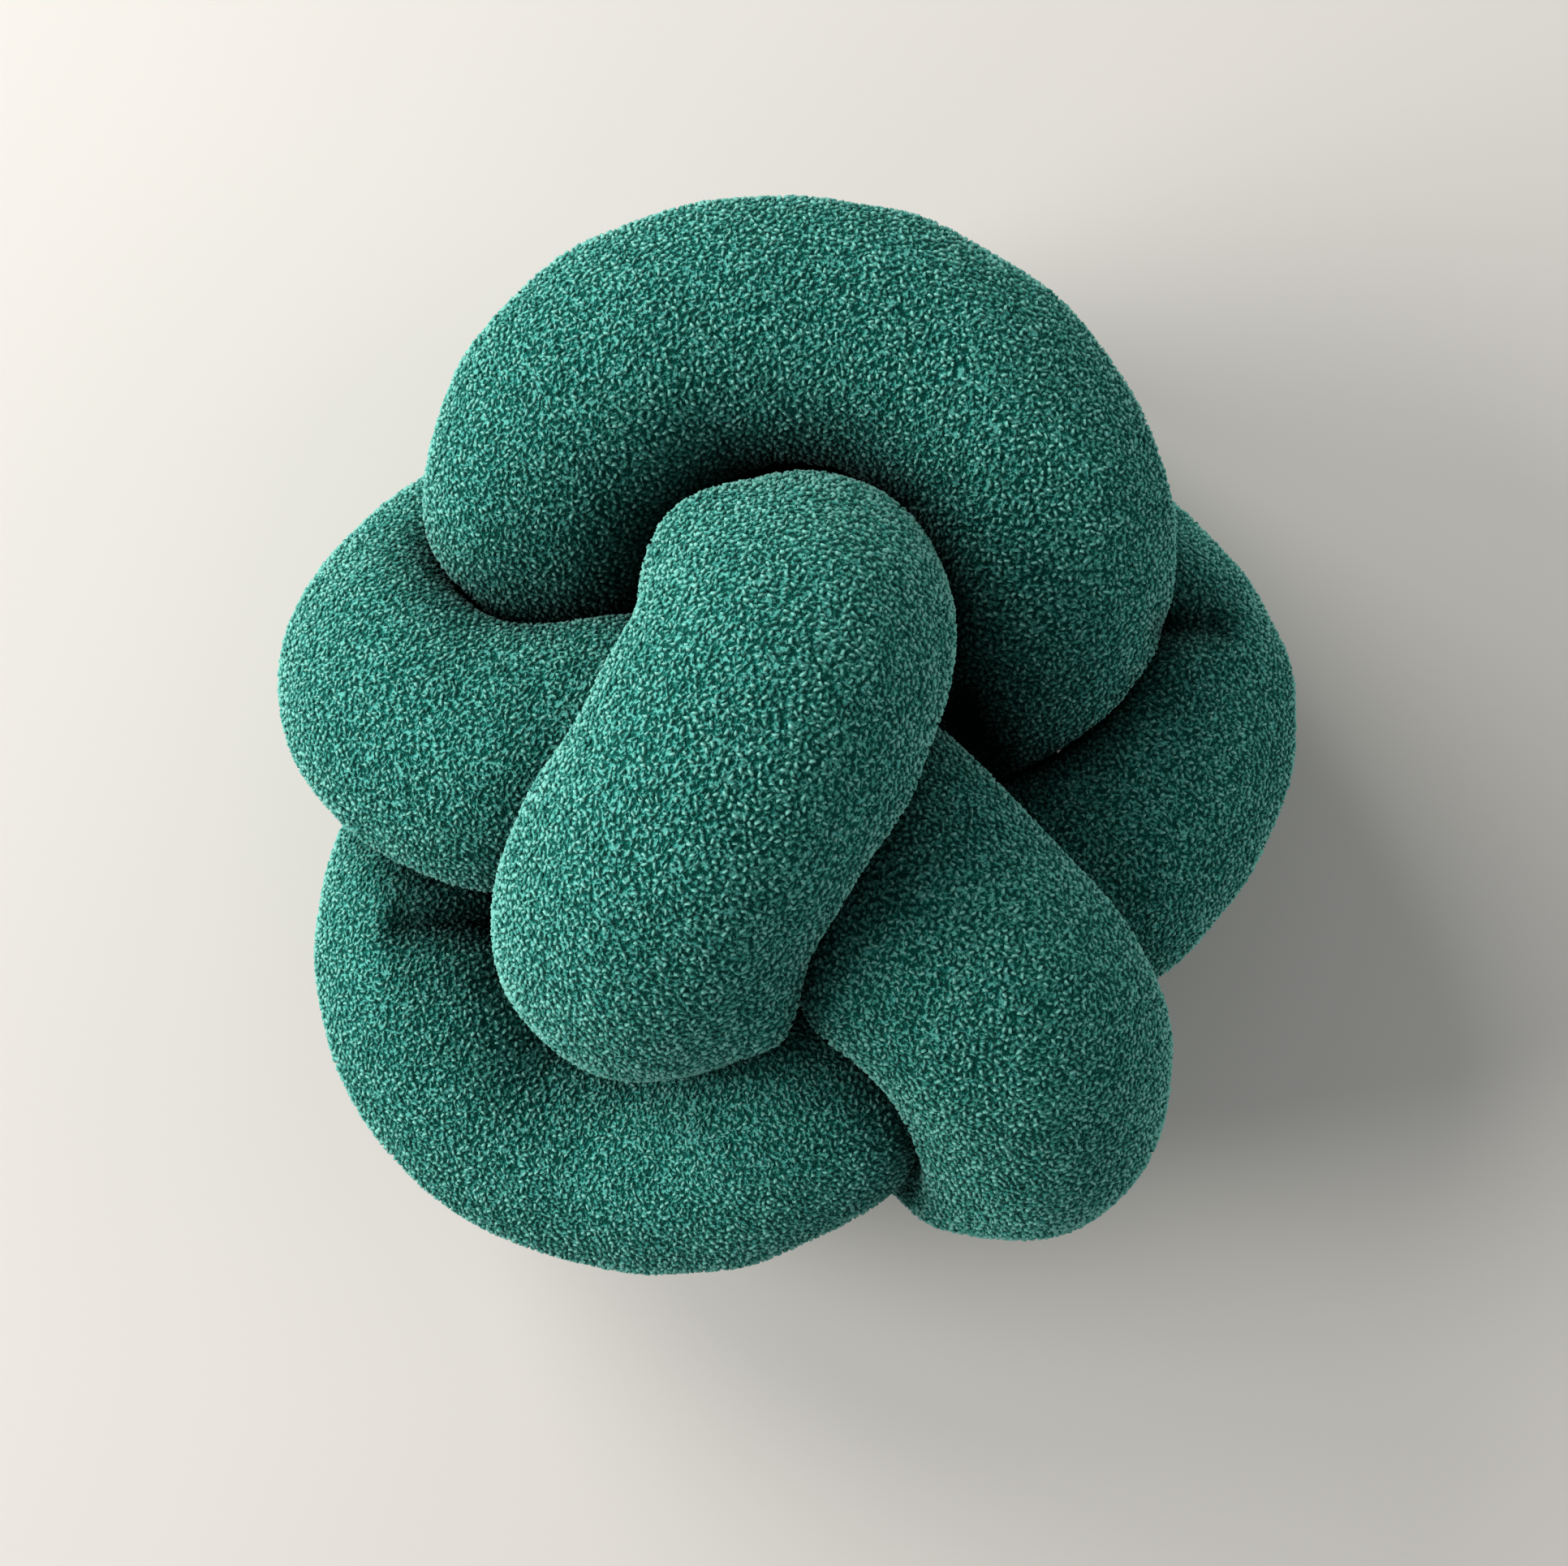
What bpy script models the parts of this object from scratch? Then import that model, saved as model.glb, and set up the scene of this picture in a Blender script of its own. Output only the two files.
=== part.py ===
"""Knot cushion: one long stuffed tube of looped-pile cloth, tied into a ball-like knot.

Metres, +Z up.  The knot lies on its back with its face up.  It rests on z = 0, and the origin is at the
middle of its footprint.  From its first end, tucked in beside the centre, the tube climbs into the arch,
goes under the left lobe, round the lower arc and under the lower strand, up through the right lobe,
low round the back, up into the left lobe, under the centre strand, down the lower strand, back under the
lower arc, and up over the middle as the centre strand, whose end is tucked in below the arch.
"""
import bmesh
import bpy
import numpy as np

# ---- driving dimensions, metres ---------------------------------------------------------------
TUBE_RADIUS = 0.0415          # the stuffed tube, where nothing squeezes it
END_FULLNESS = 0.17           # the tube's tip, as a share of its radius
RING_STEP = 0.0115            # spacing of the sections where the tube is straight
BEND_REACH = 0.021            # sections come closer in a bend: by 1 + this / the bend's radius
RING_SIDES = 24               # points round a section
STRAND_GAP = 0.0018           # room left between two strands that lie against each other
OWN_REACH = 0.035             # sections nearer than this along the tube don't press on each other
BEND_SHARE = 0.75             # how near the inside of a bend comes to the bend's own centre
LEAST_RADIUS = 0.004          # the most that a section is ever squeezed
CREASE_SHARPNESS = 14         # how suddenly a strand goes flat against its neighbour
BULGE = 0.35                  # share of the squeezed-out filling that swells the free sides
BULGE_SPREAD = 9              # sections over which that swelling evens out
REST_PRESS = 0.0040           # how much of its lowest strand the cushion's weight flattens
WELD_DISTANCE = 0.00002

# ---- the cloth --------------------------------------------------------------------------------
CLOTH_NAME = "looped pile cloth"
CLOTH_COLOUR = (0.030, 0.165, 0.120)
CLOTH_ROUGHNESS = 0.95

# The middle of the tube, station by station, in millimetres, and its fullness there (1 = TUBE_RADIUS).
#    name                            x     y    z   fullness
STATIONS = (
    ("first end, tucked in",        44,   13,  58, 0.85),
    ("inside the knot",             56,   21,  72, 1.00),
    ("arch dives",                  68,   36,  94, 1.00),
    ("arch, right foot",            75,   53, 117, 1.00),
    ("arch, right",                 76,   72, 132, 1.00),
    ("arch, upper right",           69,   94, 138, 1.00),
    ("arch, right shoulder",        53,  114, 141, 1.00),
    ("arch, right of crown",        29,  128, 142, 1.00),
    ("arch, crown",                  0,  133, 142, 1.00),
    ("arch, left of crown",        -27,  129, 142, 1.00),
    ("arch, left shoulder",         -52,  115, 140, 1.00),
    ("arch, upper left",            -65,   98, 132, 1.00),
    ("arch, left foot",            -69,   79, 114, 1.00),
    ("arch goes under",            -71,   60,  84, 1.00),
    ("under the left lobe",        -77,   34,  52, 1.00),
    ("lowest on the left",         -90,    5,  42, 1.00),
    ("comes out at the left",     -103,  -23,  60, 1.00),
    ("lower arc, left",           -109,  -49,  80, 1.00),
    ("lower arc, lower left",     -105,  -74,  84, 1.00),
    ("lower arc, left of foot",    -90,  -97,  80, 1.00),
    ("lower arc, foot",            -68, -110,  80, 1.00),
    ("lower arc, right of foot",   -43, -115,  83, 1.00),
    ("lower arc, climbs",          -18, -110,  95, 1.00),
    ("lower arc, right",             5,  -95, 112, 1.00),
    ("lower arc goes under",        29,  -75, 118, 1.00),
    ("under the lower strand",      54,  -56, 108, 1.00),
    ("out on the right",            80,  -37, 100, 1.00),
    ("right lobe, lower",          104,  -16,  96, 1.00),
    ("right lobe",                 117,    5,  92, 1.00),
    ("right lobe, side",            121,   26,  82, 1.00),
    ("right lobe, upper",           113,   47,  64, 1.00),
    ("back loop, right",            93,   71,  47, 1.00),
    ("back loop, upper right",      70,   97,  42, 1.00),
    ("back loop, right of top",     42,  117,  46, 1.00),
    ("back loop, top",               5,  124,  50, 1.00),
    ("back loop, left of top",     -32,  115,  46, 1.00),
    ("back loop, upper left",      -60,   97,  41, 1.00),
    ("back loop rises",            -86,   74,  46, 1.00),
    ("left lobe, side",           -110,   49,  72, 1.00),
    ("left lobe",                  -115,   32, 103, 1.00),
    ("left lobe, turned",          -106,   18, 122, 1.00),
    ("left lobe, inner",            -84,    9, 133, 1.00),
    ("under the centre, left",     -52,    9, 137, 1.00),
    ("under the centre",           -21,    4, 142, 1.00),
    ("under the centre, right",      8,  -10, 152, 1.00),
    ("lower strand, upper",         29,  -27, 165, 1.00),
    ("lower strand",                49,  -48, 174, 1.00),
    ("lower strand, lower",          65,  -67, 164, 1.00),
    ("lower strand turns",          73,  -86, 137, 1.00),
    ("lower strand, end",           71, -100, 100, 1.00),
    ("turned under",                 55,  -97,  62, 1.00),
    ("under the lower arc",         34,  -88,  43, 1.00),
    ("low in the middle",            9,  -73,  40, 1.00),
    ("rises in the arc",           -15,  -58,  47, 1.00),
    ("centre strand, root",        -32,  -48,  72, 1.00),
    ("centre strand, foot",         -38,  -41, 107, 1.00),
    ("centre strand, bend",         -39,  -42, 147, 1.03),
    ("centre strand, lower",       -37,  -37, 184, 1.06),
    ("centre strand, rising",      -28,  -20, 206, 1.05),
    ("centre strand, crown",       -14,    2, 217, 1.04),
    ("centre strand, upper",        -1,   27, 211, 1.04),
    ("centre strand, top",           4,   41, 188, 1.03),
    ("centre strand dives",          7,   51, 152, 1.00),
    ("second end, tucked in",        7,   60, 122, 0.85),
)

# Folds where the tube bends hard: soft troughs that draw the cloth straight down along a line, in
# millimetres.  A trough is deepest at its start and has faded by the share "fade" at its end.
#    name                            from x, y, z       to x, y, z     width  depth  fade
FOLDS = (
    ("right lobe, inner fold",     (112, 48, 117),   (134, 49, 115),    9.0,  15.0, 0.55),
    ("lower arc, inner fold",      (-88, -44, 118), (-118, -44, 121),   9.0,  16.0, 0.50),
    ("between three strands",       (52, 22, 131),    (62, 9, 126),     9.0,  16.0, 0.30),
)
FOLD_REACH = 0.012            # how far above and below its line a fold acts, beyond its depth

# Where the filling is packed hardest the cloth stands out: a soft swelling round a place, in millimetres.
#    name                              x    y    z   reach  height
SWELLS = (
    ("centre strand, shoulder",      -28,  69, 194,  18.0,  6.5),
    ("centre strand, heel",            0, -62, 160,  18.0,  5.0),
    ("lower strand, turned under",    47, -133, 100, 14.0,  3.0),
)


def bend_of(middle, along):
    """The bend at each place: it points to the bend's centre, and its length is one over the radius."""
    heading = np.gradient(middle, along, axis=0)
    return np.gradient(heading, along, axis=0)


def smooth_path(places, step):
    """A smooth curve through the places (cubic, knots spaced by the root of the chord), in short steps."""
    chord = np.sqrt(np.linalg.norm(np.diff(places[:, :3], axis=0), axis=1))
    knots = np.concatenate(([0.0], np.cumsum(chord)))
    width = np.diff(knots)
    slope = np.diff(places, axis=0) / width[:, None]
    count = len(places)
    system = np.zeros((count, count))
    right = np.zeros_like(places)
    system[0, :2] = (2.0, 1.0)
    right[0] = 3.0 * slope[0]
    system[-1, -2:] = (1.0, 2.0)
    right[-1] = 3.0 * slope[-1]
    for i in range(1, count - 1):
        system[i, i - 1:i + 2] = (width[i], 2.0 * (width[i - 1] + width[i]), width[i - 1])
        right[i] = 3.0 * (width[i] * slope[i - 1] + width[i - 1] * slope[i])
    tangent = np.linalg.solve(system, right)

    def at(t):
        span = np.clip(np.searchsorted(knots, t) - 1, 0, count - 2)
        size = width[span][:, None]
        u = ((t - knots[span]) / width[span])[:, None]
        start, end = places[span], places[span + 1]
        leave, arrive = tangent[span] * size, tangent[span + 1] * size
        return (start * (1 + 2 * u) * (1 - u) ** 2 + leave * u * (1 - u) ** 2
                + end * u ** 2 * (3 - 2 * u) - arrive * u ** 2 * (1 - u))

    fine = np.linspace(0.0, knots[-1], 40 * count)
    trace = at(fine)[:, :3]
    length = np.concatenate(([0.0], np.cumsum(np.linalg.norm(np.diff(trace, axis=0), axis=1))))
    crowding = 1.0 + BEND_REACH * np.linalg.norm(bend_of(trace, length), axis=1)
    effort = np.concatenate(([0.0], np.cumsum((crowding[1:] + crowding[:-1]) / 2 * np.diff(length))))
    steps = int(round(effort[-1] / step))
    along = np.interp(np.linspace(0.0, effort[-1], steps + 1), effort, length)
    return at(np.interp(along, length, fine)), along


def round_ends(along, radius):
    """The tube's own radius, drawn in like a ball over the last radius of either end."""
    to_end = np.minimum(along, along[-1] - along)
    inside = np.clip(1.0 - to_end / radius, 0.0, 1.0)
    return radius * np.sqrt(np.maximum(1.0 - inside ** 2, END_FULLNESS ** 2))


def strand_limit(middle, along, way):
    """How far each point of each section can reach.

    It stops half-way to another strand's middle, and short of the centre of the tube's own bend.
    """
    near = np.abs(along[:, None] - along[None, :]) < OWN_REACH
    apart = middle[None, :, :] - middle[:, None, :]
    square = np.sum(apart ** 2, axis=2)
    toward = np.einsum("isk,ijk->isj", way, apart)
    facing = (toward > 1e-5) & ~near[:, None, :]
    half = square[:, None, :] / (2.0 * np.maximum(toward, 1e-5))
    other = np.where(facing, half, 1.0).min(axis=2) - STRAND_GAP / 2
    inward = np.einsum("isk,ik->is", way, bend_of(middle, along))
    own = BEND_SHARE / np.maximum(inward, 8.0)
    own[1:-1] = (own[:-2] + 2 * own[1:-1] + own[2:]) / 4
    return np.maximum(np.minimum(other, own), LEAST_RADIUS)


def squeezed(size, limit):
    return (size ** -CREASE_SHARPNESS + limit ** -CREASE_SHARPNESS) ** (-1.0 / CREASE_SHARPNESS)


def swelling(size, limit):
    """How much each section grows on its free sides for what its neighbours squeeze out of it."""
    share = np.mean(squeezed(size, limit) ** 2, axis=1) / np.mean(size ** 2, axis=1)
    kernel = np.hanning(BULGE_SPREAD + 2)[1:-1]
    padded = np.pad(share ** (-BULGE / 2), BULGE_SPREAD // 2, mode="edge")
    return np.convolve(padded, kernel / kernel.sum(), mode="valid")


def fold_drop(points):
    """How far the folds draw each point down."""
    drop = np.zeros(len(points))
    for _, start, end, width, deep, fade in FOLDS:
        start, end, width, deep = np.array(start) / 1000, np.array(end) / 1000, width / 1000, deep / 1000
        line = end - start
        place = np.clip((points[:, :2] - start[:2]) @ line[:2] / (line[:2] @ line[:2]), 0.0, 1.0)
        off = points - start - place[:, None] * line
        across = np.hypot(off[:, 0], off[:, 1])
        drop += deep * (1.0 - fade * place) * np.exp(
            -(across / width) ** 2 - (off[:, 2] / (FOLD_REACH + deep)) ** 2)
    return drop


def swell_height(points):
    """How far the packed filling pushes the cloth out at each point."""
    height = np.zeros(points.shape[:2])
    for _, x, y, z, reach, high in SWELLS:
        off = np.linalg.norm(points - np.array((x, y, z)) / 1000, axis=2)
        height += high / 1000 * np.exp(-(off * 1000 / reach) ** 2)
    return height


def pressed(rings, middle, along):
    """The tube's sections, swollen where they are free and pressed flat against the other strands."""
    arm = rings - middle[:, None, :]
    size = np.linalg.norm(arm, axis=2)
    way = arm / size[..., None]
    limit = strand_limit(middle, along, way)
    size = size * swelling(size, limit)[:, None]
    place = middle[:, None, :] + way * squeezed(size, limit)[..., None]
    size = size + swell_height(place)
    return middle[:, None, :] + way * squeezed(size, limit)[..., None]


def rested(points):
    """The knot, folded and set down on z = 0, flat where it presses, with its footprint's middle at 0, 0."""
    points[:, 2] -= fold_drop(points)
    points[:, 2] = np.maximum(points[:, 2] - points[:, 2].min() - REST_PRESS, 0.0)
    points[:, :2] -= (points[:, :2].min(axis=0) + points[:, :2].max(axis=0)) / 2
    return points


def tube_mesh(name, middle, radius):
    """A curve with a round bevel and filled caps, made a mesh.  It lists the two caps' points first."""
    curve = bpy.data.curves.new(name, "CURVE")
    curve.dimensions = "3D"
    curve.bevel_depth = TUBE_RADIUS
    curve.bevel_resolution = RING_SIDES // 2 - 2
    curve.use_fill_caps = True
    spline = curve.splines.new("POLY")
    spline.points.add(len(middle) - 1)
    spline.points.foreach_set("co", np.column_stack((middle, np.ones(len(middle)))).ravel())
    spline.points.foreach_set("radius", radius / TUBE_RADIUS)
    tube = bpy.data.objects.new(name + " curve", curve)
    bpy.context.scene.collection.objects.link(tube)
    bpy.context.view_layer.update()
    mesh = bpy.data.meshes.new_from_object(tube.evaluated_get(bpy.context.evaluated_depsgraph_get()))
    mesh.name = name
    bpy.data.objects.remove(tube)
    return mesh


def weld_caps(mesh):
    """The caps joined to the tube, and every face turned outward."""
    work = bmesh.new()
    work.from_mesh(mesh)
    rims = [vert for vert in work.verts if vert.is_boundary]
    bmesh.ops.remove_doubles(work, verts=rims, dist=WELD_DISTANCE)
    bmesh.ops.recalc_face_normals(work, faces=work.faces)
    work.to_mesh(mesh)
    work.free()


def cloth_material():
    material = bpy.data.materials.new(CLOTH_NAME)
    material.use_nodes = True
    shader = material.node_tree.nodes["Principled BSDF"]
    shader.inputs["Base Color"].default_value = (*CLOTH_COLOUR, 1.0)
    shader.inputs["Roughness"].default_value = CLOTH_ROUGHNESS
    shader.inputs["Metallic"].default_value = 0.0
    return material


def knot_cushion(collection):
    stations = np.array([station[1:] for station in STATIONS], dtype=float)
    stations[:, :3] /= 1000
    track, along = smooth_path(stations, RING_STEP)
    middle = track[:, :3]
    mesh = tube_mesh("knot_cushion", middle, round_ends(along, TUBE_RADIUS * track[:, 3]))
    points = np.empty(3 * len(mesh.vertices))
    mesh.vertices.foreach_get("co", points)
    rings = points.reshape(-1, RING_SIDES, 3)
    rings[2:] = pressed(rings[2:], middle, along)
    rings[0], rings[1] = rings[-1], rings[2]
    mesh.vertices.foreach_set("co", rested(rings.reshape(-1, 3)).ravel())
    weld_caps(mesh)
    mesh.shade_smooth()
    mesh.materials.append(cloth_material())
    cushion = bpy.data.objects.new("knot_cushion", mesh)
    collection.objects.link(cushion)
    return cushion


for item in list(bpy.data.objects):
    bpy.data.objects.remove(item)
knot = bpy.data.collections.new("knot cushion")
bpy.context.scene.collection.children.link(knot)
knot_cushion(knot)
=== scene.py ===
# Knot cushion: one long stuffed tube of looped-pile cloth, tied into a ball-like knot and laid on its back.
# The cloth is one closed tube whose strands press each other flat, and about 72,000 curls make its pile.
import math

import bpy
import numpy as np
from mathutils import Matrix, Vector


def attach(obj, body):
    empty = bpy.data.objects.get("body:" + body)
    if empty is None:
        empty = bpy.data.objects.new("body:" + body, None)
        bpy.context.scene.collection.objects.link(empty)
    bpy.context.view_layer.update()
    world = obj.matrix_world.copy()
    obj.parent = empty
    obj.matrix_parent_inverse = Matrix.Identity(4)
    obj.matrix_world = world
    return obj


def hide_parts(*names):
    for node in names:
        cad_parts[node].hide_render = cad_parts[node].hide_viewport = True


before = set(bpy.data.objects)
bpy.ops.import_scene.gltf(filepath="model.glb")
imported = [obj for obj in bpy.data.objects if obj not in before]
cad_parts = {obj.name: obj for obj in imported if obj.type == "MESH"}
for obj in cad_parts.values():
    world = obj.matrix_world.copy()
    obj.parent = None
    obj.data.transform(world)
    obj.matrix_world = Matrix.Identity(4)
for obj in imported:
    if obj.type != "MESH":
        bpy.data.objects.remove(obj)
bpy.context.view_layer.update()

tube = {
    "radius": 0.0415,         # metres, where nothing squeezes it
    "endFullness": 0.17,      # how blunt the two closed ends are
    "step": 0.0044,           # between two sections where the tube is straight
    "bendReach": 0.021,       # sections come closer in a bend
    "sides": 100,             # points round a section
    "strandGap": 0.0018,
    "ownReach": 0.035,        # sections nearer than this along the tube don't press on each other
    "bendShare": 0.75,        # how near to the bend's centre its inner side may come
    "leastBend": 8.0,         # a bend slacker than this, as one over metres, squeezes nothing
    "bendEvening": 0.022,     # metres of tube over which a bend's squeeze evens out
    "leastRadius": 0.004,
    "creaseSharpness": 14,
    "bulge": 0.35,            # how much of the squeezed-out filling swells the tube nearby
    "bulgeReach": 0.10,       # metres of tube over which the swelling evens out
    "pileDepth": 0.0007,      # the cloth lies this far under the outline, which the pile makes
    "shift": (-0.00248, -0.00881, -0.00192),   # from the table's places to the frame's
    "lumpHeight": 0.0005,     # the filling's unevenness
    "lumpSizes": (0.070, 0.045, 0.030),
    "lumpSeed": 3,
    # the middle of the tube: x, y, z in millimetres and the fullness there
    "stations": (
        (44, 13, 58, 0.85),      # first end, tucked in
        (56, 21, 72, 1.00),
        (68, 36, 94, 1.00),      # the arch
        (75, 53, 117, 1.00),
        (76, 72, 132, 1.00),
        (69, 94, 138, 1.00),
        (53, 114, 141, 1.00),
        (29, 128, 142, 1.00),
        (0, 133, 142, 1.00),     # its crown
        (-27, 129, 142, 1.00),
        (-52, 115, 140, 1.00),
        (-65, 98, 132, 1.00),
        (-69, 79, 114, 1.00),
        (-71, 60, 84, 1.00),     # under the left lobe
        (-77, 34, 52, 1.00),
        (-90, 5, 42, 1.00),
        (-103, -23, 60, 1.00),   # the lower arc
        (-109, -49, 80, 1.00),
        (-105, -74, 84, 1.00),
        (-90, -97, 80, 1.00),
        (-68, -110, 80, 1.00),
        (-43, -115, 85, 1.00),
        (-18, -110, 96, 1.00),
        (5, -95, 112, 1.00),
        (29, -75, 118, 1.00),
        (54, -56, 108, 1.00),    # under the lower strand
        (80, -37, 100, 1.00),
        (104, -16, 96, 1.00),    # the right lobe
        (117, 5, 92, 1.00),
        (121, 26, 82, 1.00),
        (113, 47, 64, 1.00),
        (93, 71, 47, 1.00),      # the back loop
        (70, 97, 42, 1.00),
        (42, 117, 46, 1.00),
        (5, 124, 50, 1.00),
        (-32, 115, 46, 1.00),
        (-60, 97, 41, 1.00),
        (-86, 74, 46, 1.00),
        (-110, 49, 72, 1.00),    # the left lobe
        (-115, 32, 103, 1.00),
        (-106, 18, 122, 1.00),
        (-84, 9, 133, 1.00),
        (-52, 9, 137, 1.00),     # under the centre strand
        (-21, 4, 142, 1.00),
        (8, -10, 152, 1.00),
        (29, -27, 165, 1.00),    # the lower strand
        (49, -48, 174, 1.00),
        (65, -67, 164, 1.00),
        (73, -86, 137, 1.00),
        (71, -100, 100, 1.00),
        (55, -97, 62, 1.00),     # turned back under the lower arc
        (34, -88, 43, 1.00),
        (9, -73, 40, 1.00),
        (-15, -58, 47, 1.00),
        (-32, -48, 72, 1.00),    # the centre strand
        (-38, -41, 107, 1.00),
        (-39, -42, 147, 1.03),
        (-37, -37, 184, 1.06),
        (-28, -20, 206, 1.05),
        (-14, 2, 217, 1.04),     # its crown
        (-1, 27, 211, 1.04),
        (4, 41, 188, 1.03),
        (7, 51, 152, 1.00),
        (7, 60, 122, 0.85),      # second end, tucked in below the arch
    ),
    # soft troughs and ridges laid on straight down: from and to in millimetres, width, depth, fade
    "folds": (
        ((112, 48, 117), (134, 49, 115), 4.5, 17.0, 0.50),     # inner fold of the right lobe
        ((114, 56, 111), (137, 57, 107), 9.0, 5.0, 0.40),      # the cloth sinks towards it
        ((-88, -44, 118), (-118, -44, 121), 5.0, 16.0, 0.50),  # inner fold of the lower arc
        ((-88, -61, 120), (-112, -63, 125), 7.0, 2.5, 0.60),   # a pucker beside it
        ((52, 22, 131), (62, 9, 126), 6.0, 18.0, 0.30),        # the hole where three strands meet
        ((37, -105, 152), (67, -122, 160), 7.0, -2.5, 0.50),   # knuckle of the lower strand
    ),
    "foldReach": 0.012,       # how far above and below its line a fold acts, beyond its depth
    "foldDarkness": 0.010,    # metres of fold depth that leave a third of the light in the painted shade of the folds
    # where the filling is packed hardest: place in millimetres, reach, height
    "swells": (
        ((-28, 69, 194), 18.0, 6.5),     # shoulder of the centre strand
        ((3, -66, 197), 16.0, 10.0),     # its heel
        ((47, -133, 100), 14.0, 3.0),    # the lower strand, turned under
    ),
}


def bendOf(middle, along):
    # the second difference of place by length: it points to the bend's centre, one over the radius long
    heading = np.gradient(middle, along, axis=0)
    return np.gradient(heading, along, axis=0)


def lengthAlong(places):
    # the running sum of the distances from place to place
    return np.concatenate(([0.0], np.cumsum(np.linalg.norm(np.diff(places, axis=0), axis=1))))


def smoothRoute(places, step, bendReach):
    # a cubic through the places, its knots spaced by the root of the chord, cut into short steps
    # that shrink as 1 / (1 + bendReach / radius of the bend)
    chord = np.linalg.norm(np.diff(places[:, :3], axis=0), axis=1)
    knots = np.concatenate(([0.0], np.cumsum(chord ** 0.5)))
    width = np.diff(knots)
    slope = np.diff(places, axis=0) / width[:, None]
    count = len(places)
    system = np.zeros((count, count))
    right = np.zeros_like(places)
    system[0, :2] = (2.0, 1.0)
    right[0] = 3.0 * slope[0]
    system[-1, -2:] = (1.0, 2.0)
    right[-1] = 3.0 * slope[-1]
    inner = np.arange(1, count - 1)
    system[inner, inner - 1] = width[1:]
    system[inner, inner] = 2.0 * (width[:-1] + width[1:])
    system[inner, inner + 1] = width[:-1]
    right[1:-1] = 3.0 * (width[1:, None] * slope[:-1] + width[:-1, None] * slope[1:])
    tangent = np.linalg.solve(system, right)

    def at(t):
        span = np.clip(np.searchsorted(knots, t) - 1, 0, count - 2)
        size = width[span][:, None]
        u = ((t - knots[span]) / width[span])[:, None]
        leave = tangent[span] * size
        arrive = tangent[span + 1] * size
        return (places[span] * (1 + 2 * u) * (1 - u) ** 2 + leave * u * (1 - u) ** 2
                + places[span + 1] * u ** 2 * (3 - 2 * u) - arrive * u ** 2 * (1 - u))

    fine = np.linspace(0.0, knots[-1], 40 * count)   # forty places a station are enough to measure by
    trace = at(fine)[:, :3]
    length = lengthAlong(trace)
    crowding = 1.0 + bendReach * np.linalg.norm(bendOf(trace, length), axis=1)
    effort = np.concatenate(([0.0], np.cumsum((crowding[1:] + crowding[:-1]) / 2 * np.diff(length))))
    steps = int(round(effort[-1] / step))
    along = np.interp(np.linspace(0.0, effort[-1], steps + 1), effort, length)
    return at(np.interp(along, length, fine)), along


def carriedFrames(middle, along):
    # two directions across the tube at each section, carried along it without twisting
    heading = np.gradient(middle, along, axis=0)
    heading /= np.linalg.norm(heading, axis=1)[:, None]
    across = np.zeros_like(heading)
    across[0] = np.cross(heading[0], (0.0, 0.0, 1.0))
    across[0] /= np.linalg.norm(across[0])
    for i in range(1, len(heading)):
        side = across[i - 1] - heading[i] * (across[i - 1] @ heading[i])
        across[i] = side / np.linalg.norm(side)
    return across, np.cross(heading, across)


def evened(values, along, reach):
    # a running mean along the tube with a round-topped weight
    spacing = along[-1] / (len(along) - 1)
    half = max(1, int(round(reach / 2 / spacing)))
    weight = np.hanning(2 * half + 3)[1:-1]
    weight /= weight.sum()
    flat = values.reshape(len(values), -1)
    padded = np.pad(flat, ((half, half), (0, 0)), mode="edge")
    total = sum(weight[k] * padded[k:k + len(flat)] for k in range(len(weight)))
    return total.reshape(values.shape)


def reachOf(middle, along, way):
    # how far each point can reach: half-way to another strand's middle, which is
    # distance squared / twice the part of it that points that way, and short of the bend's own centre
    limit = np.empty(way.shape[:2])
    others = middle[::2]
    tiny = 1e-5
    nothingNear = 1.0
    for first in range(0, len(middle), 40):   # forty sections at a time, to spare memory
        rows = slice(first, first + 40)
        near = np.abs(along[rows, None] - along[None, ::2]) < tube["ownReach"]
        apart = others[None, :, :] - middle[rows, None, :]
        square = np.sum(apart ** 2, axis=2)
        toward = np.einsum("isk,ijk->isj", way[rows], apart)
        facing = (toward > tiny) & ~near[:, None, :]
        half = square[:, None, :] / (2.0 * np.maximum(toward, tiny))
        limit[rows] = np.where(facing, half, nothingNear).min(axis=2)
    limit -= tube["strandGap"] / 2
    inward = np.einsum("isk,ik->is", way, bendOf(middle, along))
    own = evened(tube["bendShare"] / np.maximum(inward, tube["leastBend"]), along, tube["bendEvening"])
    return np.maximum(np.minimum(limit, own), tube["leastRadius"])


def squeezed(size, limit):
    # the smaller of the two, rounded where they meet
    power = tube["creaseSharpness"]
    return (size ** -power + limit ** -power) ** (-1.0 / power)


def foldDrop(points):
    # each fold draws the cloth down by depth x (1 - fade x place along it)
    # x exp(-(distance on the plan / width) squared - (height off the line / reach) squared)
    drop = np.zeros(points.shape[:2])
    for start, end, width, deep, fade in tube["folds"]:
        start = np.array(start) / 1000
        line = np.array(end) / 1000 - start
        deep = deep / 1000
        place = np.clip((points[..., :2] - start[:2]) @ line[:2] / (line[:2] @ line[:2]), 0.0, 1.0)
        off = points - start - place[..., None] * line
        across = np.hypot(off[..., 0], off[..., 1]) / (width / 1000)
        above = off[..., 2] / (tube["foldReach"] + abs(deep))
        drop += deep * (1.0 - fade * place) * np.exp(-across ** 2 - above ** 2)
    return drop


def swellHeight(points):
    # each swelling: height x exp(-(distance / reach) squared)
    height = np.zeros(points.shape[:2])
    for place, reach, high in tube["swells"]:
        off = np.linalg.norm(points - np.array(place) / 1000, axis=2)
        height += high / 1000 * np.exp(-(off * 1000 / reach) ** 2)
    return height


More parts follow.
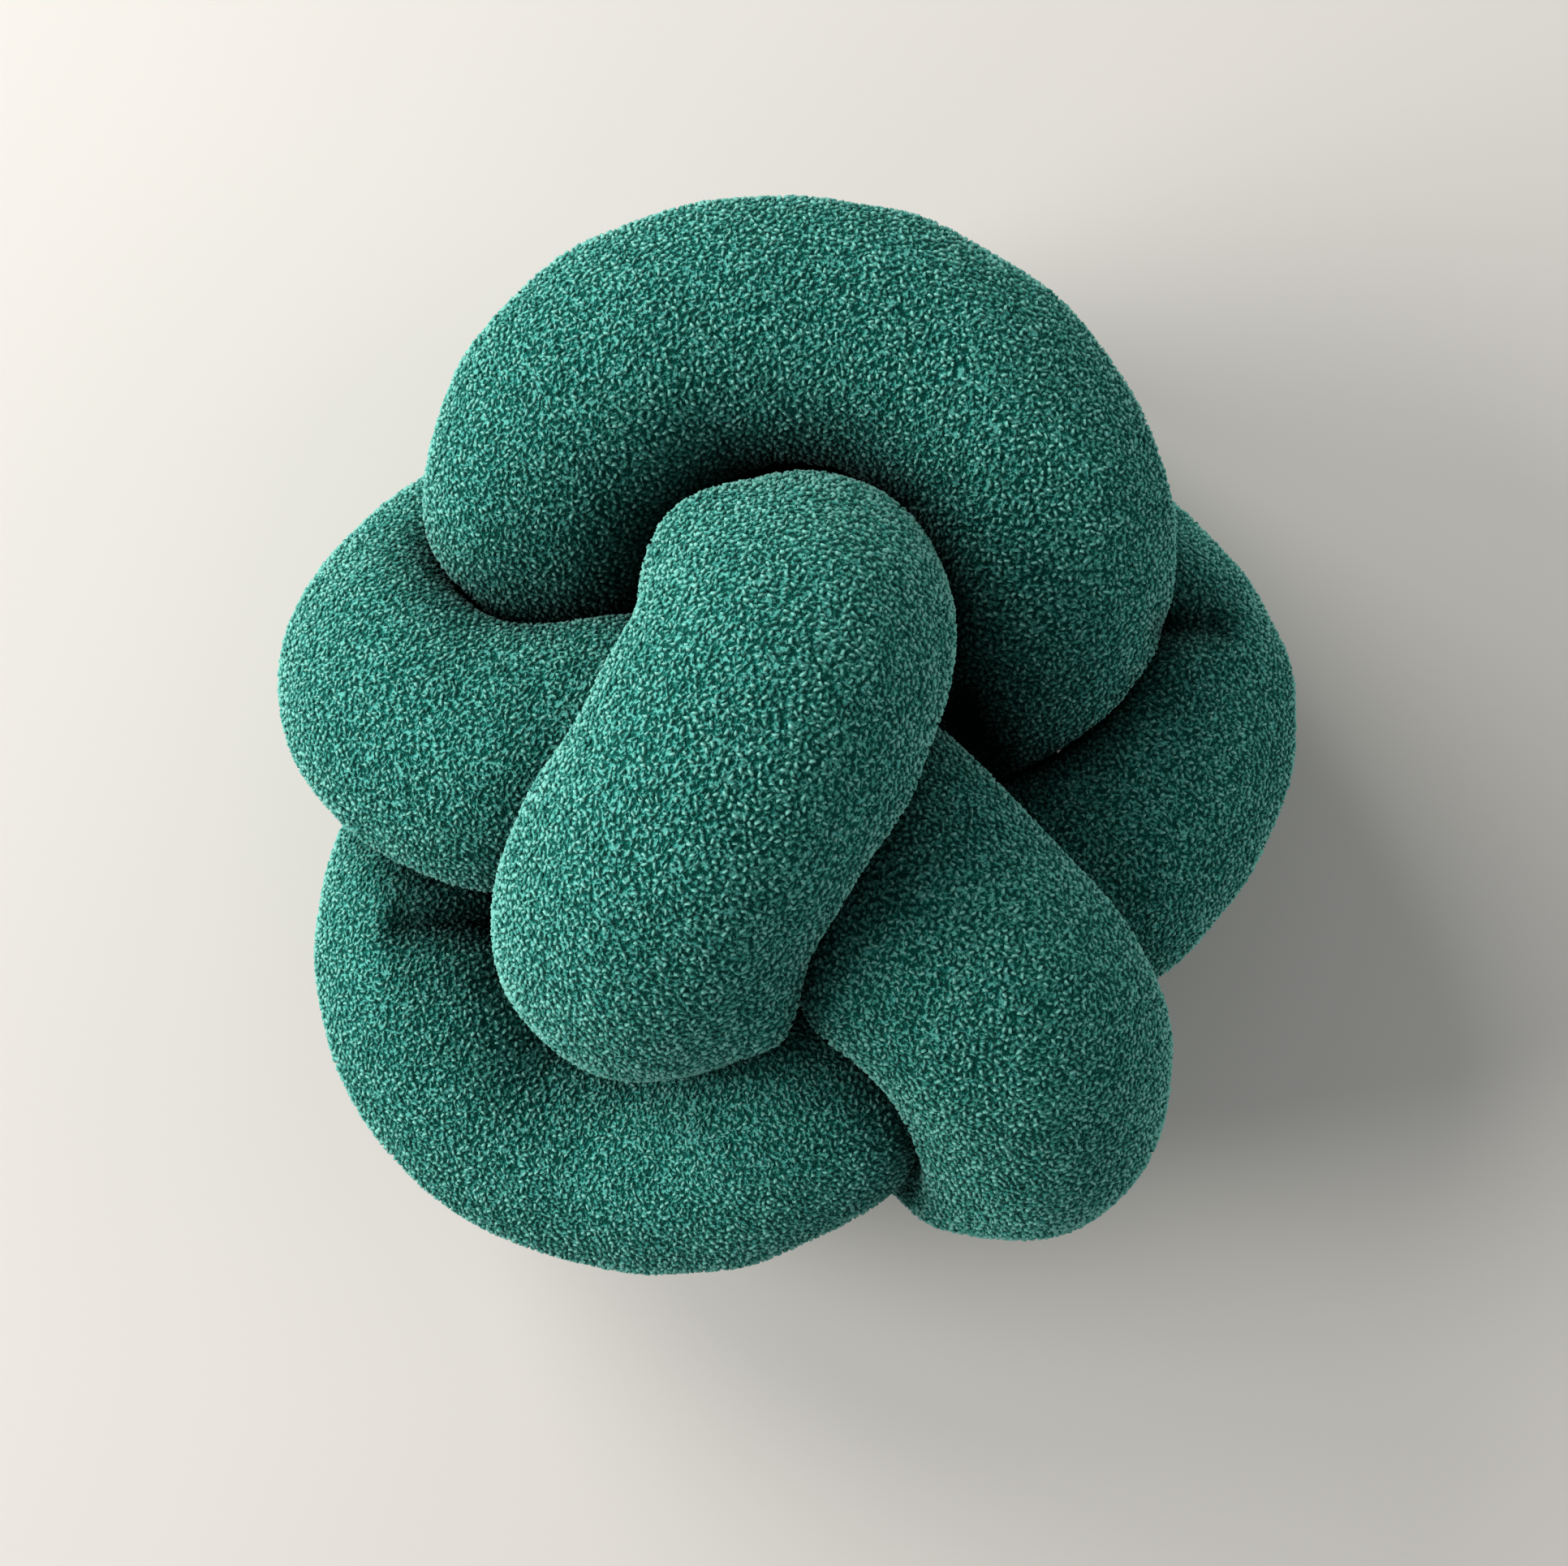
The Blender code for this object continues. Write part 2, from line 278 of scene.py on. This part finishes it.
def lumps(points, sizes, seed):
    # slow unevenness: six waves in every direction for each size, about one high in all
    rng = np.random.default_rng(seed)
    waves = 6
    total = np.zeros(points.shape[:-1])
    for size in sizes:
        for _ in range(waves):
            run = rng.normal(size=3)
            run /= np.linalg.norm(run)
            total += np.sin(points @ run * (2 * math.pi / size) + rng.uniform(0, 2 * math.pi))
    return total / (waves * len(sizes)) ** 0.5


def knotSurface():
    # point = middle + way out x radius, with the radius squeezed between the strands, swollen where
    # filling is pushed to, then drawn down in the folds and pressed flat on the floor
    stations = np.array(tube["stations"], dtype=float)
    stations[:, :3] /= 1000
    track, along = smoothRoute(stations, tube["step"], tube["bendReach"])
    middle = track[:, :3]
    across, up = carriedFrames(middle, along)
    turn = np.linspace(0.0, 2 * math.pi, tube["sides"], endpoint=False)
    way = across[:, None, :] * np.cos(turn)[:, None] + up[:, None, :] * np.sin(turn)[:, None]
    full = tube["radius"] * track[:, 3]
    inside = np.clip(1.0 - np.minimum(along, along[-1] - along) / full, 0.0, 1.0)
    size = full * np.sqrt(np.maximum(1.0 - inside ** 2, tube["endFullness"] ** 2))
    size = np.repeat(size[:, None], tube["sides"], axis=1)
    limit = reachOf(middle, along, way)
    share = np.mean(squeezed(size, limit) ** 2, axis=1) / np.mean(size ** 2, axis=1)
    size = size * evened(share ** (-tube["bulge"] / 2), along, tube["bulgeReach"])[:, None]
    place = middle[:, None, :] + way * squeezed(size, limit)[..., None]
    size = size + swellHeight(place) + tube["lumpHeight"] * lumps(place, tube["lumpSizes"], tube["lumpSeed"])
    size = squeezed(np.maximum(size, tube["leastRadius"]), limit) - tube["pileDepth"]
    points = middle[:, None, :] + way * size[..., None]
    fold = foldDrop(points)
    points[..., 2] -= fold
    points += np.array(tube["shift"])
    points[..., 2] = np.maximum(points[..., 2], 0.0)
    return points, middle + np.array(tube["shift"]), along, fold


def outwardOf(points, middle):
    # the cross product of the steps along the tube and round it
    along = np.gradient(points, axis=0)
    around = np.roll(points, -1, axis=1) - np.roll(points, 1, axis=1)
    normal = np.cross(along, around)
    normal *= np.sign(np.sum(normal * (points - middle[:, None, :]), axis=2))[..., None]
    return normal / np.maximum(np.linalg.norm(normal, axis=2), 1e-9)[..., None]


sky = {
    "directions": 40,         # spread evenly over the whole sphere
    "turn": 2.39996,          # the golden angle, from one direction to the next
    "every": 4,               # it is worked out at each fourth point and blended between
    "ballShare": 0.94,        # a strand counts as a row of balls of this share of its radius
    "ballEvery": 3,           # sections from ball to ball
    "ownReach": 0.05,         # metres of its own tube that don't shade a point
}


def opennessOf(points, normals, middle, along):
    # the share of the sky over each point that no other strand covers, with each strand a row of balls
    every = sky["every"]
    k = np.arange(sky["directions"]) + 0.5
    height = 1.0 - 2.0 * k / sky["directions"]
    ring = np.sqrt(1.0 - height ** 2)
    toSky = np.column_stack((ring * np.cos(k * sky["turn"]), ring * np.sin(k * sky["turn"]), height))
    coarse = points[::every, ::every]
    facing = np.maximum(normals[::every, ::every] @ toSky.T, 0.0)
    balls = middle[::sky["ballEvery"]]
    ballsAlong = along[::sky["ballEvery"]]
    ballSize = sky["ballShare"] * tube["radius"]
    openShare = np.empty(coarse.shape[:2])
    for i in range(len(coarse)):   # a section at a time, to spare memory
        other = np.abs(ballsAlong - along[i * every]) > sky["ownReach"]
        apart = balls[other][None, :, :] - coarse[i][:, None, :]
        ahead = apart @ toSky.T
        miss = np.sum(apart ** 2, axis=2)[..., None] - ahead ** 2
        hit = ((ahead > 0) & (miss < ballSize ** 2)).any(axis=1)
        openShare[i] = np.sum(facing[i] * ~hit, axis=1) / np.sum(facing[i], axis=1)
    openShare = np.column_stack((openShare, openShare[:, :1]))
    sideAt = np.arange(points.shape[1]) / every
    wide = np.stack([np.interp(sideAt, np.arange(openShare.shape[1]), row) for row in openShare])
    rows = np.minimum(np.arange(len(points)) / every, len(openShare) - 1)
    low = np.floor(rows).astype(int)
    high = np.minimum(low + 1, len(openShare) - 1)
    part = (rows - low)[:, None]
    return wide[low] * (1 - part) + wide[high] * part


def meshFrom(name, points, faces, attributes):
    # faces is one array with a row for each face; attributes hold a number for each point
    mesh = bpy.data.meshes.new(name)
    mesh.vertices.add(len(points))
    mesh.vertices.foreach_set("co", np.ascontiguousarray(points, dtype=np.float32).ravel())
    corners = faces.shape[1]
    mesh.loops.add(faces.size)
    mesh.loops.foreach_set("vertex_index", faces.astype(np.int32).ravel())
    mesh.polygons.add(len(faces))
    mesh.polygons.foreach_set("loop_start", np.arange(0, faces.size, corners, dtype=np.int32))
    mesh.polygons.foreach_set("loop_total", np.full(len(faces), corners, dtype=np.int32))
    mesh.update(calc_edges=True)
    for key, values in attributes.items():
        layer = mesh.attributes.new(key, "FLOAT", "POINT")
        layer.data.foreach_set("value", np.ascontiguousarray(values, dtype=np.float32).ravel())
    mesh.shade_smooth()
    piece = bpy.data.objects.new(name, mesh)
    bpy.context.scene.collection.objects.link(piece)
    return piece


def closedTube(name):
    # two triangles for each square of the grid, closed round the tube, and a fan at each end
    rows, sides = surface.shape[:2]
    place = np.arange(rows * sides).reshape(rows, sides)
    after = np.roll(place, -1, axis=1)
    one = np.stack((place[:-1], after[:-1], after[1:]), axis=-1).reshape(-1, 3)
    two = np.stack((place[:-1], after[1:], place[1:]), axis=-1).reshape(-1, 3)
    startFan = np.column_stack((after[0], place[0], np.full(sides, rows * sides)))
    endFan = np.column_stack((place[-1], after[-1], np.full(sides, rows * sides + 1)))
    faces = np.vstack((one, two, startFan, endFan))
    points = np.vstack((surface.reshape(-1, 3), surface[0].mean(axis=0), surface[-1].mean(axis=0)))
    a, b, c = (points[faces[:, k]] for k in range(3))
    volume = np.sum(np.einsum("ij,ij->i", a, np.cross(b, c)))
    if volume < 0:
        faces = faces[:, ::-1]
    return meshFrom(name, points, faces, {"openness": np.append(openness.ravel(), (0.0, 0.0))})


print("working out the knot's surface")
surface, middle, along, foldAt = knotSurface()
outward = outwardOf(surface, middle)
openness = opennessOf(surface, outward, middle, along)
# painted shade in the folds: the deeper the fold, the lower the openness, which the materials turn into darker
# colour
openness *= np.exp(-np.maximum(foldAt, 0.0) / tube["foldDarkness"])
print("sections", len(along), "length", round(float(along[-1]), 3))

cushionCloth = closedTube("cushionCloth")
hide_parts("knot_cushion")
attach(cushionCloth, "root")
print("cloth", len(cushionCloth.data.polygons), "triangles")

pile = {
    "seed": 11,
    "apart": 0.00174,         # no two curls stand nearer than this
    "tries": 600000,
    "rounds": 6,
    "most": 73000,
    "length": (0.0016, 0.0026),
    "sideways": (0.0002, 0.0007),
    "height": (0.0001, 0.0006),
    "tilt": 0.25,             # how far a curl leans out of the cloth
    "thick": (0.00058, 0.00078),   # radius of a curl's yarn
    "ringAt": 0.42,           # where its two rings stand, as a share of half its length
    "sidewaysRest": 0.4,      # centres the bend on the curl's place
    "leastOpenness": 0.05,    # none stands where less of the sky shows
    "leastHeight": 0.0004,    # nor on the pressed underside
    "lowest": 0.00005,        # and none goes through the floor
    "levels": (0.2, 1.0, 0.3, 0.3),   # painted light for the colour: painted shade on the tips, a painted highlight on a ring's top, painted shade on its two lower points
    "names": ("pileOfArch", "pileOfLowerArc", "pileOfRightLobe", "pileOfLeftLobe", "pileOfCentre"),
}


def spreadOut(place):
    # the places kept when none may stand within pile["apart"] of another: space is cut into cells too small
    # for two, one place is tried in each, and it stays if no kept one and no earlier one is too near
    cellSize = pile["apart"] / 3 ** 0.5
    cell = np.floor((place - place.min(axis=0)) / cellSize).astype(np.int64) + 2
    shape = cell.max(axis=0) + 3
    key = np.ravel_multi_index(cell.T, shape)
    steps = np.indices((5, 5, 5)).reshape(3, -1).T - 2
    steps = steps[(np.abs(steps).sum(axis=1) > 0) & (np.abs(steps).sum(axis=1) < 6)]
    moves = steps @ np.array((shape[1] * shape[2], shape[2], 1))
    holder = np.full(int(np.prod(shape)), -1, dtype=np.int32)
    waiting = np.arange(len(place))

    def crowded(some, table, earlierOnly):
        near = table[key[some]] >= 0 if not earlierOnly else np.zeros(len(some), dtype=bool)
        for move in moves:
            other = table[key[some] + move]
            close = np.sum((place[some] - place[other]) ** 2, axis=1) < pile["apart"] ** 2
            near |= close & (other >= 0) & ((other < some) | (not earlierOnly))
        return near

    for _ in range(pile["rounds"]):
        first = waiting[np.unique(key[waiting], return_index=True)[1]]
        tried = np.full(len(holder), -1, dtype=np.int32)
        tried[key[first]] = first
        stays = first[~crowded(first, tried, True)]
        holder[key[stays]] = stays
        waiting = waiting[~crowded(waiting, holder, False)]
    return np.sort(holder[holder >= 0])


def scattered(rng, count):
    # places spread by area over the open cloth, then thinned to stand evenly apart
    corner = surface[:-1]
    side = np.roll(surface, -1, axis=1)[:-1] - corner
    ahead = surface[1:] - corner
    area = np.linalg.norm(np.cross(side, ahead), axis=2) * (openness[:-1] > pile["leastOpenness"])
    total = np.cumsum(area.ravel())
    pick = np.searchsorted(total, rng.uniform(0, total[-1], count))
    row, turn = np.divmod(pick, surface.shape[1])
    u = rng.uniform(size=count)
    v = rng.uniform(size=count)
    nextTurn = (turn + 1) % surface.shape[1]

    def between(field):
        w = [(1 - u) * (1 - v), u * (1 - v), (1 - u) * v, u * v]
        c = [field[row, turn], field[row, nextTurn], field[row + 1, turn], field[row + 1, nextTurn]]
        if field.ndim == 3:
            w = [k[:, None] for k in w]
        return sum(a * b for a, b in zip(w, c))

    place = between(surface)
    normal = between(outward)
    openAt = between(openness)
    kept = spreadOut(place)[:pile["most"]]
    kept = kept[place[kept, 2] > pile["leastHeight"]]
    kept = kept[np.argsort(row[kept], kind="stable")]
    return place[kept], normal[kept] / np.linalg.norm(normal[kept], axis=1)[:, None], openAt[kept]


def curlPoints(rng, place, normal):
    # each curl is a short bent worm: its middle line is run x s, side x (s squared - 0.4),
    # height x (1 - s squared) for s from -1 to 1, and a ring of three stands round it at each inner place
    count = len(place)
    run = np.cross(normal, rng.normal(size=(count, 3)))
    run /= np.linalg.norm(run, axis=1)[:, None]
    side = np.cross(normal, run)
    run += normal * rng.uniform(-pile["tilt"], pile["tilt"], count)[:, None]
    length = rng.uniform(*pile["length"], count)[:, None, None] / 2
    sideways = rng.uniform(*pile["sideways"], count)[:, None, None]
    height = rng.uniform(*pile["height"], count)[:, None, None]
    thick = rng.uniform(*pile["thick"], count)[:, None, None, None]
    run, side, out = run[:, None, :], side[:, None, :], normal[:, None, :]
    s = np.array((-1.0, -pile["ringAt"], pile["ringAt"], 1.0))[None, :, None]
    line = (place[:, None, :] + run * length * s + side * sideways * (s ** 2 - pile["sidewaysRest"])
            + out * height * (1 - s ** 2))
    heading = run * length + side * sideways * 2 * s - out * height * 2 * s
    heading /= np.linalg.norm(heading, axis=2)[..., None]
    wide = np.cross(heading, np.broadcast_to(out, heading.shape))
    wide /= np.linalg.norm(wide, axis=2)[..., None]
    rise = np.cross(wide, heading)
    turn = np.radians((90.0, 210.0, 330.0))[:, None]
    ringOut = wide[:, 1:3, None, :] * np.cos(turn) + rise[:, 1:3, None, :] * np.sin(turn)
    rings = line[:, 1:3, None, :] + thick * ringOut
    points = np.concatenate((line[:, :1], rings.reshape(count, 6, 3), line[:, 3:]), axis=1)
    points[..., 2] = np.maximum(points[..., 2], pile["lowest"])
    return points


def curlFaces(count):
    # one curl: a tip, two rings of three and a tip
    ring = np.arange(6).reshape(2, 3) + 1
    after = np.roll(ring, -1, axis=1)
    faces = [(0, after[0, k], ring[0, k]) for k in range(3)]
    faces += [(ring[0, k], after[0, k], after[1, k]) for k in range(3)]
    faces += [(ring[0, k], after[1, k], ring[1, k]) for k in range(3)]
    faces += [(7, ring[1, k], after[1, k]) for k in range(3)]
    return (np.array(faces)[None, :, :] + 8 * np.arange(count)[:, None, None]).reshape(-1, 3)


def makePile():
    # the curls, in their order along the tube, are shared out evenly between the pieces
    rng = np.random.default_rng(pile["seed"])
    place, normal, openAt = scattered(rng, pile["tries"])
    points = curlPoints(rng, place, normal)
    tip, *ringLevels = pile["levels"]
    # each curl's painted light: painted shade on its tips and lower points, a painted highlight on the top of
    # its rings
    level = np.tile(np.array((tip, *ringLevels, *ringLevels, tip)), len(place))
    tone = np.repeat(rng.uniform(size=len(place)), 8)
    openAt = np.repeat(openAt, 8)
    pieces = []
    cuts = np.linspace(0, len(place), len(pile["names"]) + 1).astype(int)
    for name, first, last in zip(pile["names"], cuts[:-1], cuts[1:]):
        part = slice(first * 8, last * 8)
        attributes = {"level": level[part], "tone": tone[part], "openness": openAt[part]}
        pieces.append(meshFrom(name, points[first:last].reshape(-1, 3), curlFaces(last - first), attributes))
    print("curls", len(place), "triangles", 12 * len(place))
    return pieces


pilePieces = makePile()
for piece in pilePieces:
    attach(piece, "root")


def linear(hexColour):
    # sRGB hex to the linear colour that the shader takes
    values = [int(hexColour[k:k + 2], 16) / 255 for k in (1, 3, 5)]
    return [v / 12.92 if v <= 0.04045 else ((v + 0.055) / 1.055) ** 2.4 for v in values] + [1.0]


def node(tree, kind, settings=None, **links):
    # adds a node with its settings; a link is a value, or a (node, output) pair, for a socket by its name
    made = tree.nodes.new(kind)
    for key, value in (settings or {}).items():
        setattr(made, key, value)
    for key, value in links.items():
        numbered = key.startswith("in") and key[2:].isdigit()
        socket = made.inputs[int(key[2:]) if numbered else key.replace("_", " ")]
        if isinstance(value, tuple) and isinstance(value[0], bpy.types.Node):
            tree.links.new(value[0].outputs[value[1]], socket)
        else:
            socket.default_value = value
    return made


def setStops(colourRamp, stops):
    # puts the colours at their places on the ramp
    while len(colourRamp.elements) < len(stops):
        colourRamp.elements.new(0.5)
    for element, (position, colour) in zip(colourRamp.elements, stops):
        element.position = position
        element.color = linear(colour)


def newMaterial(name, surfaceValues):
    # a shader with its plain values set on its sockets, colours as sRGB hex
    material = bpy.data.materials.new(name)
    material.use_nodes = True
    tree = material.node_tree
    shader = tree.nodes["Principled BSDF"]
    for socket, value in surfaceValues.items():
        shader.inputs[socket].default_value = linear(value) if isinstance(value, str) else value
    return material, tree, shader


yarnLook = {
    "surface": {
        "Roughness": 0.85,
        "Specular IOR Level": 0.15,
        "Sheen Weight": 0.18,
        "Sheen Roughness": 0.4,
        "Sheen Tint": "#A8E0D0",
    },
    "colours": ((0.0, "#08524A"), (0.5, "#287B6F"), (1.0, "#70B1A4")),   # from a curl's foot, darkened as painted shade, to its top, lightened as a painted highlight
    "toneSpread": 0.7,        # how much lighter or darker one curl is than the next
    "openRange": (0.05, 0.95),     # openness over which the painted shade runs from the darkest crease to full light
    "darkest": 0.06,
}


def loopedPileYarn():
    # dyed polyester yarn in loose loops: matte, a little sheen at the rim, a painted highlight at the top of
    # each curl and painted shade at its foot
    material, tree, shader = newMaterial("loopedPileYarn", yarnLook["surface"])
    level = node(tree, "ShaderNodeAttribute", {"attribute_name": "level"})
    tone = node(tree, "ShaderNodeAttribute", {"attribute_name": "tone"})
    openAt = node(tree, "ShaderNodeAttribute", {"attribute_name": "openness"})
    lift = node(tree, "ShaderNodeMath", {"operation": "MULTIPLY_ADD"},
                in0=(tone, "Fac"), in1=yarnLook["toneSpread"], in2=-yarnLook["toneSpread"] / 2)
    height = node(tree, "ShaderNodeMath", {"operation": "ADD", "use_clamp": True},
                  in0=(level, "Fac"), in1=(lift, 0))
    # the ramp paints shade towards a curl's foot and a highlight at its top
    colour = node(tree, "ShaderNodeValToRGB", None, Fac=(height, 0))
    setStops(colour.color_ramp, yarnLook["colours"])
    # painted shade: the colour darkens where other strands cover more of the sky
    shade = node(tree, "ShaderNodeMapRange", {"clamp": True}, Value=(openAt, "Fac"), To_Max=1.0,
                 From_Min=yarnLook["openRange"][0], From_Max=yarnLook["openRange"][1],
                 To_Min=yarnLook["darkest"])
    dark = node(tree, "ShaderNodeVectorMath", {"operation": "SCALE"}, in0=(colour, "Color"), Scale=(shade, 0))
    tree.links.new(dark.outputs[0], shader.inputs["Base Color"])
    return material


groundLook = {
    "surface": {
        "Roughness": 0.9,
        "Specular IOR Level": 0.05,
        "Sheen Weight": 0.05,
        "Sheen Roughness": 0.4,
        "Sheen Tint": "#A8E0D0",
    },
    "loopsPerMetre": 780.0,   # short loops, about 1.3 mm apart
    "loopEdge": (0.36, 0.66),      # of the noise, from the gap between loops to their tops
    "loopHeight": 0.0010,
    # from the gaps between the loops, darkened as painted shade, to their tops, lightened as a painted
    # highlight
    "colours": ((0.0, "#053D35"), (0.4, "#15695D"), (0.8, "#449388"), (1.0, "#54A194")),
    "openRange": (0.05, 0.95),
    "darkest": 0.05,
}


def loopedPileGround():
    # the short loops between the tall ones: matte beads and worms, with painted shade between them and a
    # painted highlight on their tops
    material, tree, shader = newMaterial("loopedPileGround", groundLook["surface"])
    spot = node(tree, "ShaderNodeTexCoord")
    loops = node(tree, "ShaderNodeTexNoise", None, Vector=(spot, "Object"),
                 Scale=groundLook["loopsPerMetre"], Detail=1.0, Roughness=0.5)
    bead = node(tree, "ShaderNodeMapRange", {"clamp": True, "interpolation_type": "SMOOTHSTEP"},
                Value=(loops, "Fac"), From_Min=groundLook["loopEdge"][0], From_Max=groundLook["loopEdge"][1],
                To_Min=0.0, To_Max=1.0)
    openAt = node(tree, "ShaderNodeAttribute", {"attribute_name": "openness"})
    # the ramp paints shade in the gaps and a highlight on the loops' tops
    colour = node(tree, "ShaderNodeValToRGB", None, Fac=(bead, 0))
    setStops(colour.color_ramp, groundLook["colours"])
    # painted shade: the colour darkens where other strands cover more of the sky
    shade = node(tree, "ShaderNodeMapRange", {"clamp": True}, Value=(openAt, "Fac"), To_Max=1.0,
                 From_Min=groundLook["openRange"][0], From_Max=groundLook["openRange"][1],
                 To_Min=groundLook["darkest"])
    dark = node(tree, "ShaderNodeVectorMath", {"operation": "SCALE"}, in0=(colour, "Color"), Scale=(shade, 0))
    bump = node(tree, "ShaderNodeBump", None, Height=(bead, 0), Strength=1.0, Distance=groundLook["loopHeight"])
    tree.links.new(dark.outputs[0], shader.inputs["Base Color"])
    tree.links.new(bump.outputs[0], shader.inputs["Normal"])
    return material


ground = loopedPileGround()
yarn = loopedPileYarn()
cushionCloth.data.materials.append(ground)
for piece in pilePieces:
    piece.data.materials.append(yarn)
print("materials done")

studio = {
    "floorSurface": {"Base Color": "#C9C4BD", "Roughness": 0.8},
    "floorReach": 12.0,       # metres from its middle to each edge
    "worldColour": "#E6ECF0",
    "worldStrength": 0.40,
    "lampAway": 2.6,          # metres from the cushion
    "lampSize": 1.6,
    "lampAim": (0.0, 0.0, 0.1),
    # soft lamps: degrees round from +X, degrees above the floor, watts
    "lamps": (
        ("windowAbove", 135.0, 27.0, 66.0),
        ("windowBeside", 180.0, 30.0, 74.0),
        ("paleWall", 0.0, 12.0, 22.0),
    ),
    "cameraPlace": (-0.00248, -0.00881, 0.91808),   # straight above the knot, as in the photograph
    "focalPixels": 3200.0,
    "imageWidth": 1932.0,
    "sensorWidth": 36.0,
}


def studioFloor():
    # one square at z = 0
    reach = studio["floorReach"]
    corners = [(-reach, -reach, 0), (reach, -reach, 0), (reach, reach, 0), (-reach, reach, 0)]
    mesh = bpy.data.meshes.new("floor")
    mesh.from_pydata(corners, [], [(0, 1, 2, 3)])
    floor = bpy.data.objects.new("floor", mesh)
    bpy.context.scene.collection.objects.link(floor)
    mesh.materials.append(newMaterial("plainFloor", studio["floorSurface"])[0])


def studioLight():
    # a pale sky, and each lamp at its distance from the cushion, turned to face it
    world = bpy.data.worlds.new("studio")
    bpy.context.scene.world = world
    world.use_nodes = True
    background = world.node_tree.nodes["Background"]
    background.inputs["Color"].default_value = linear(studio["worldColour"])
    background.inputs["Strength"].default_value = studio["worldStrength"]
    for name, around, above, power in studio["lamps"]:
        light = bpy.data.lights.new(name, "AREA")
        light.shape = "DISK"
        light.size = studio["lampSize"]
        light.energy = power
        lamp = bpy.data.objects.new(name, light)
        around = math.radians(around)
        above = math.radians(above)
        flat = math.cos(above)
        toward = Vector((flat * math.cos(around), flat * math.sin(around), math.sin(above)))
        lamp.location = Vector(studio["lampAim"]) + toward * studio["lampAway"]
        lamp.rotation_euler = toward.to_track_quat("Z", "Y").to_euler()
        bpy.context.scene.collection.objects.link(lamp)


def studioCamera():
    # it looks straight down; its lens is the focal length in pixels as a share of the picture's width
    camera = bpy.data.cameras.new("camera")
    camera.sensor_width = studio["sensorWidth"]
    camera.lens = studio["focalPixels"] / studio["imageWidth"] * studio["sensorWidth"]
    stand = bpy.data.objects.new("camera", camera)
    stand.location = studio["cameraPlace"]
    bpy.context.scene.collection.objects.link(stand)
    bpy.context.scene.camera = stand


studioFloor()
studioLight()
studioCamera()
bpy.context.scene.view_settings.view_transform = "Standard"   # colours show as they are
print("studio done")
bpy.context.view_layer.update()
print("finishing")
